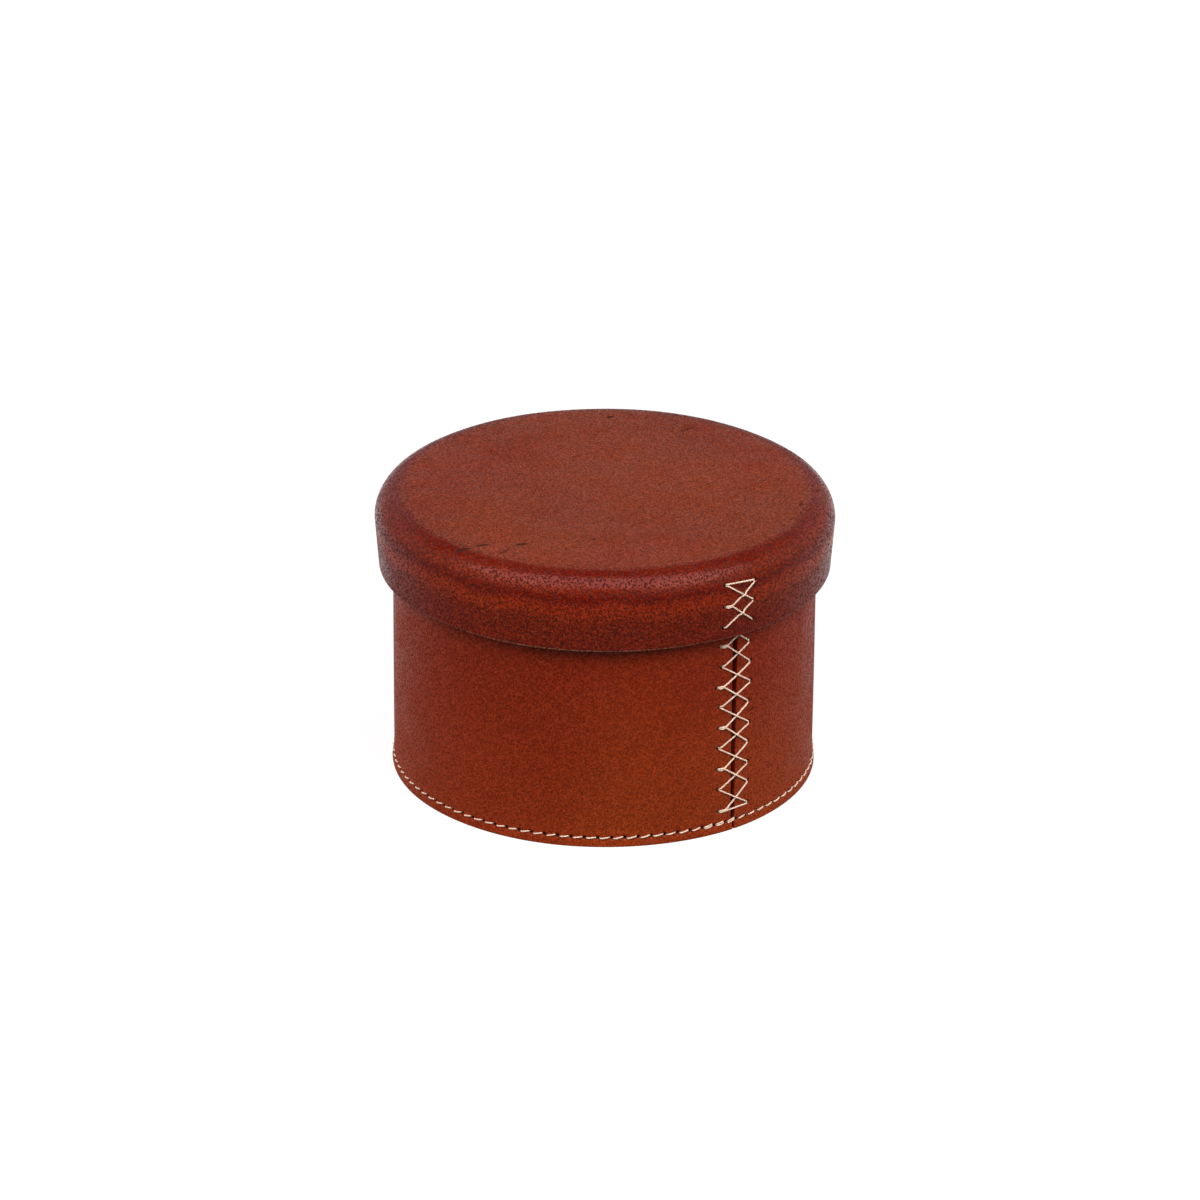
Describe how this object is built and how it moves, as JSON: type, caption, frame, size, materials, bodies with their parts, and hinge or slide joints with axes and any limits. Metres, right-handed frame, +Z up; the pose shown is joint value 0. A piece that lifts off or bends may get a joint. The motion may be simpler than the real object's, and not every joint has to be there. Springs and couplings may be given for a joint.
{
  "type": "collar box",
  "caption": "Round box of thick brown leather with a lift-off lid, a cross-laced wall seam and a stitched base.",
  "frame": {"origin": "middle of the foot, on the surface that the box stands on", "axes": "+Z up along the axis of the box, -Y towards the front, +X to the right; the wall's seam is 37 degrees to the right of the front"},
  "size_m": [0.165, 0.165, 0.1054],
  "materials": {
    "wall_leather": "waxed vegetable-tanned leather, satin, fine pores",
    "lid_leather": "waxed vegetable-tanned leather, polished on the shoulder, fine pores",
    "inner_leather": "matt flesh side",
    "thread": "twisted linen thread, waxed",
    "suede": "brushed suede"
  },
  "bodies": {
    "box": {"wall": "wall_leather", "seam_backing": "inner_leather", "wall_lacing": "thread", "base_pan": "inner_leather", "base_stitching": "thread", "floor_lining": "suede"},
    "lid": {"lid_shell": "lid_leather", "lid_lacing": "thread", "lid_lining": "suede"}
  },
  "joints": [
    {"name": "lid_lift", "type": "slide", "parent": "box", "child": "lid", "axis": [0, 0, 1], "range_m": [0, 0.1]}
  ]
}
